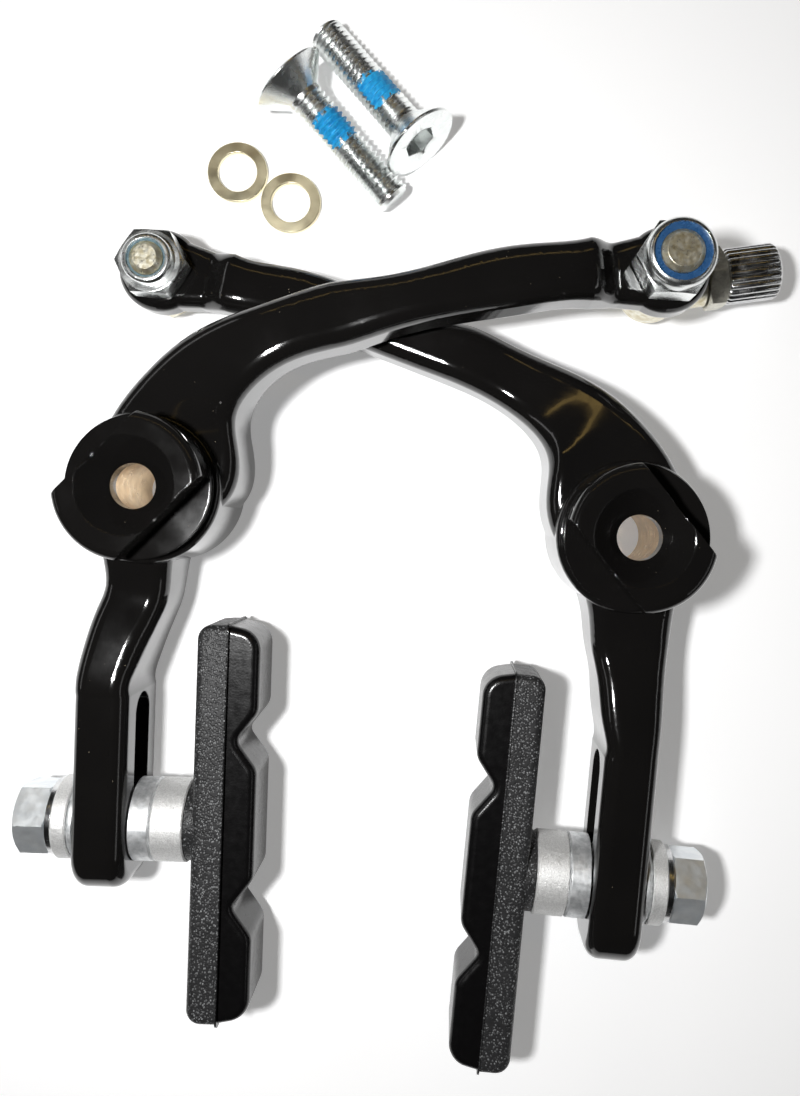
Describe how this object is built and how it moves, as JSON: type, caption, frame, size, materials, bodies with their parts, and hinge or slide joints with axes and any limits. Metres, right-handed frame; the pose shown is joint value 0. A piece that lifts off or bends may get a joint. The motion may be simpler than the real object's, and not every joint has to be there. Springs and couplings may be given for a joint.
{
  "type": "bmx u-brake caliper",
  "caption": "Bicycle rim brake: two crossed black arms on separate pivots with sprung hubs, adjustable pads, a swivelling cable stop with barrel adjuster, and a cable pinch bolt.",
  "frame": {"origin": "midway between the two pivot axes, on the back plane of the pivot sleeves", "axes": "+X along the pivot line to the right arm's pivot, +Y towards the cable ends, +Z out of the frame, along the pivots"},
  "size_m": [0.109, 0.1602, 0.0278],
  "materials": {
    "gloss_black": "gloss",
    "bright_zinc": "polished",
    "frosted_alloy": "matte",
    "chrome": "polished",
    "dull_zinc": "matte",
    "yellow_zinc": "satin",
    "brass": "satin",
    "spring_steel": "satin",
    "pad_rubber": "matte",
    "blue_nylon": "satin"
  },
  "bodies": {
    "pivots": {"left_pivot_sleeve": "brass", "right_pivot_sleeve": "brass", "mounting_bolts": "bright_zinc", "mounting_washers": "yellow_zinc"},
    "left_arm": {"left_arm": "gloss_black", "left_return_spring": "spring_steel"},
    "left_tension_cap": {"left_tension_cap": "gloss_black"},
    "left_pad_seat": {"left_inner_dome_washer": "chrome", "left_outer_dome_washer": "chrome"},
    "left_pad_cups": {"left_inner_spacer": "frosted_alloy", "left_outer_cup_washer": "frosted_alloy"},
    "left_pad": {"left_pad": "pad_rubber", "left_pad_stud": "bright_zinc", "left_outer_washer": "chrome", "left_pad_nut": "bright_zinc"},
    "right_arm": {"right_arm": "gloss_black", "right_return_spring": "spring_steel"},
    "right_tension_cap": {"right_tension_cap": "gloss_black"},
    "right_pad_seat": {"right_inner_dome_washer": "chrome", "right_outer_dome_washer": "chrome"},
    "right_pad_cups": {"right_inner_spacer": "frosted_alloy", "right_outer_cup_washer": "frosted_alloy"},
    "right_pad": {"right_pad": "pad_rubber", "right_pad_stud": "bright_zinc", "right_outer_washer": "chrome", "right_pad_nut": "bright_zinc"},
    "cable_stop": {"cable_stop": "dull_zinc", "stop_nut": "bright_zinc", "stop_nut_insert": "blue_nylon"},
    "adjuster_lock_nut": {"adjuster_lock_nut": "dull_zinc"},
    "barrel_adjuster": {"barrel_adjuster": "chrome"},
    "cable_pinch": {"pinch_bolt": "bright_zinc", "pinch_nut": "bright_zinc", "pinch_nut_insert": "blue_nylon"}
  },
  "joints": [
    {"name": "left_arm_swing", "type": "hinge", "parent": "pivots", "child": "left_arm", "pos_m": [-0.036, 0, 0.009], "axis": [0, 0, 1], "range_deg": [-3.5, 6], "stiffness_Nm_per_rad": 1.5, "deforming": ["left_return_spring"]},
    {"name": "left_tension_turn", "type": "hinge", "parent": "pivots", "child": "left_tension_cap", "pos_m": [-0.036, 0, 0.02], "axis": [0, 0, 1], "range_deg": [-30, 60], "deforming": ["left_return_spring"]},
    {"name": "left_pad_height", "type": "slide", "parent": "left_arm", "child": "left_pad_seat", "axis": [-0.0698, 0.9976, 0], "range_m": [-0.0015, 0.007]},
    {"name": "left_pad_toe", "type": "hinge", "parent": "left_pad_seat", "child": "left_pad_cups", "pos_m": [-0.03837, -0.05153, 0.00855], "axis": [0, 0, 1], "range_deg": [-4, 4]},
    {"name": "left_pad_swivel", "type": "hinge", "parent": "left_pad_cups", "child": "left_pad", "pos_m": [-0.03837, -0.05153, 0.00855], "axis": [0.9976, 0.0698, 0], "range_deg": [-90, 90]},
    {"name": "right_arm_swing", "type": "hinge", "parent": "pivots", "child": "right_arm", "pos_m": [0.036, 0, 0.009], "axis": [0, 0, -1], "range_deg": [-3.5, 6], "stiffness_Nm_per_rad": 1.5, "deforming": ["right_return_spring"]},
    {"name": "right_tension_turn", "type": "hinge", "parent": "pivots", "child": "right_tension_cap", "pos_m": [0.036, 0, 0.02], "axis": [0, 0, -1], "range_deg": [-30, 60], "deforming": ["right_return_spring"]},
    {"name": "right_pad_height", "type": "slide", "parent": "right_arm", "child": "right_pad_seat", "axis": [-0.0052, 1, 0], "range_m": [-0.0015, 0.007]},
    {"name": "right_pad_toe", "type": "hinge", "parent": "right_pad_seat", "child": "right_pad_cups", "pos_m": [0.03975, -0.0531, 0.00855], "axis": [0, 0, -1], "range_deg": [-4, 4]},
    {"name": "right_pad_swivel", "type": "hinge", "parent": "right_pad_cups", "child": "right_pad", "pos_m": [0.03975, -0.0531, 0.00855], "axis": [-1, -0.0052, 0], "range_deg": [-90, 90]},
    {"name": "cable_stop_swivel", "type": "hinge", "parent": "left_arm", "child": "cable_stop", "pos_m": [0.03701, 0.03948, 0.012], "axis": [0, 0, 1], "range_deg": [-40, 40]},
    {"name": "adjuster_travel", "type": "slide", "parent": "cable_stop", "child": "adjuster_lock_nut", "axis": [0.9738, 0.2275, 0], "range_m": [0, 0.002]},
    {"name": "barrel_turn", "type": "hinge", "parent": "adjuster_lock_nut", "child": "barrel_adjuster", "pos_m": [0.03701, 0.03948, 0.0074], "axis": [0.9738, 0.2275, 0], "range_deg": [-6, 726]},
    {"name": "pinch_swivel", "type": "hinge", "parent": "right_arm", "child": "cable_pinch", "pos_m": [-0.03977, 0.03389, 0.007], "axis": [0, 0, 1], "range_deg": [-45, 45]}
  ],
  "couplings": [
    {"joint": "barrel_turn", "follows": "adjuster_travel", "rad_per_m": 6283.2}
  ]
}
